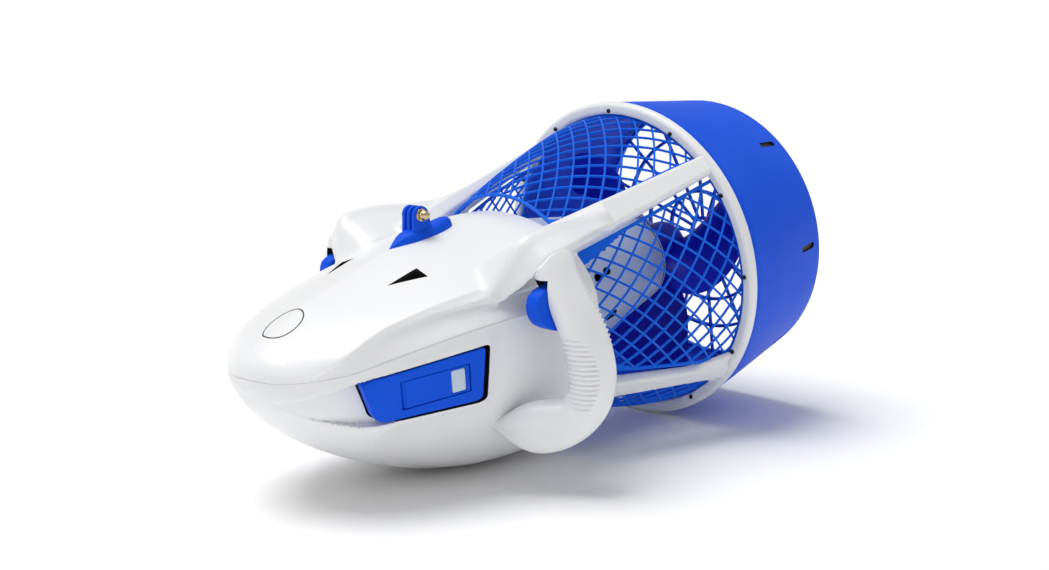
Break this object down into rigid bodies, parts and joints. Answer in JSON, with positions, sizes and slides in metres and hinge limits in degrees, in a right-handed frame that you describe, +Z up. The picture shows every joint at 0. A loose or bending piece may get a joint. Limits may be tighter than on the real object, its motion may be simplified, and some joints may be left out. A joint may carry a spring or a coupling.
{
  "type": "underwater scooter",
  "caption": "Hand-held dive scooter: shark-nosed two-shell hull, two grip loops with triggers, side latches, caged motor pod and a propeller in a duct with guards.",
  "frame": {"origin": "centre of the footprint on the ground that the scooter lies on", "axes": "+Y runs aft from the nose to the duct outlet, +Z up, +X to port; the propeller axis lies in the YZ plane and points 8.6 degrees nose down"},
  "size_m": [0.335, 0.565, 0.3029],
  "materials": {
    "white_plastic": "gloss white moulded hull plastic",
    "blue_plastic": "satin vivid blue moulding",
    "light_blue_plastic": "lighter blue grille moulding",
    "indigo_plastic": "dark indigo blade plastic",
    "pale_plastic": "pale blue-grey moulding",
    "black_plastic": "matt black",
    "black_rubber": "soft black seal",
    "webbing": "woven strap",
    "steel": "stainless steel",
    "motor_steel": "plated motor can",
    "black_steel": "black oxide screws",
    "brass": "brass",
    "red_insulation": "red cable insulation",
    "black_insulation": "black cable insulation",
    "board_green": "circuit board"
  },
  "bodies": {
    "hull": {"upper_hull": "white_plastic", "lower_hull": "white_plastic", "hull_gasket": "black_rubber", "rear_bulkhead": "pale_plastic", "top_vents": "black_plastic", "side_panel_port": "blue_plastic", "side_panel_starboard": "blue_plastic", "latch_pins": "steel", "camera_mount": "blue_plastic", "camera_mount_nut": "brass", "camera_mount_screws": "steel", "guard_ring": "white_plastic", "duct_band": "blue_plastic", "ring_screws": "black_steel", "rear_guard": "light_blue_plastic", "cage_top": "light_blue_plastic", "cage_port": "light_blue_plastic", "cage_starboard": "light_blue_plastic", "cage_bottom": "light_blue_plastic", "strut_upper_port": "white_plastic", "strut_upper_starboard": "white_plastic", "strut_lower_port": "white_plastic", "strut_lower_starboard": "white_plastic", "handle_port": "white_plastic", "handle_starboard": "white_plastic", "handle_dowels": "steel", "handle_screws": "steel", "trigger_pins": "steel", "trigger_springs": "steel", "reed_switches": "black_plastic", "battery": "black_plastic", "battery_tray": "pale_plastic", "battery_strap": "webbing", "battery_terminals": "brass", "positive_lead": "red_insulation", "negative_lead": "black_insulation", "controller_board": "board_green", "board_bracket": "pale_plastic", "board_capacitors": "black_plastic", "power_relay": "black_plastic", "motor_pod": "pale_plastic", "pod_end_cap": "pale_plastic", "pod_screws": "black_steel", "motor_can": "motor_steel", "front_bearing": "steel", "rear_bearing": "steel", "shaft_seal": "black_rubber"},
    "propeller": {"propeller": "indigo_plastic", "propeller_shaft": "steel", "drive_pin": "steel", "propeller_nut": "steel", "motor_rotor": "motor_steel"},
    "trigger_port": {"trigger_port": "blue_plastic", "trigger_magnet_port": "steel"},
    "latch_port": {"latch_lever_port": "blue_plastic"},
    "button_port": {"release_button_port": "pale_plastic"},
    "trigger_starboard": {"trigger_starboard": "blue_plastic", "trigger_magnet_starboard": "steel"},
    "latch_starboard": {"latch_lever_starboard": "blue_plastic"},
    "button_starboard": {"release_button_starboard": "pale_plastic"}
  },
  "joints": [
    {"name": "propeller_spin", "type": "hinge", "parent": "hull", "child": "propeller", "pos_m": [0, 0.17638, 0.15734], "axis": [0, 0.9886, 0.1503], "continuous": true},
    {"name": "trigger_port_pull", "type": "hinge", "parent": "hull", "child": "trigger_port", "pos_m": [0.131, -0.09297, 0.16594], "axis": [1, 0, 0], "range_deg": [0, 12], "stiffness_Nm_per_rad": 0.5, "springref_deg": -8.59},
    {"name": "latch_port_swing", "type": "hinge", "parent": "hull", "child": "latch_port", "pos_m": [0.08221, -0.20033, 0.09124], "axis": [-0.1174, 0.1814, -0.9764], "range_deg": [0, 50]},
    {"name": "release_button_port_press", "type": "slide", "parent": "latch_port", "child": "button_port", "axis": [-0.9564, 0.2439, 0.1604], "range_m": [0, 0.0015], "stiffness_N_per_m": 400, "springref_m": -0.001},
    {"name": "trigger_starboard_pull", "type": "hinge", "parent": "hull", "child": "trigger_starboard", "pos_m": [-0.131, -0.09297, 0.16594], "axis": [1, 0, 0], "range_deg": [0, 12], "stiffness_Nm_per_rad": 0.5, "springref_deg": -8.59},
    {"name": "latch_starboard_swing", "type": "hinge", "parent": "hull", "child": "latch_starboard", "pos_m": [-0.08221, -0.20033, 0.09124], "axis": [-0.1174, -0.1814, 0.9764], "range_deg": [0, 50]},
    {"name": "release_button_starboard_press", "type": "slide", "parent": "latch_starboard", "child": "button_starboard", "axis": [0.9564, 0.2439, 0.1604], "range_m": [0, 0.0015], "stiffness_N_per_m": 400, "springref_m": -0.001}
  ]
}
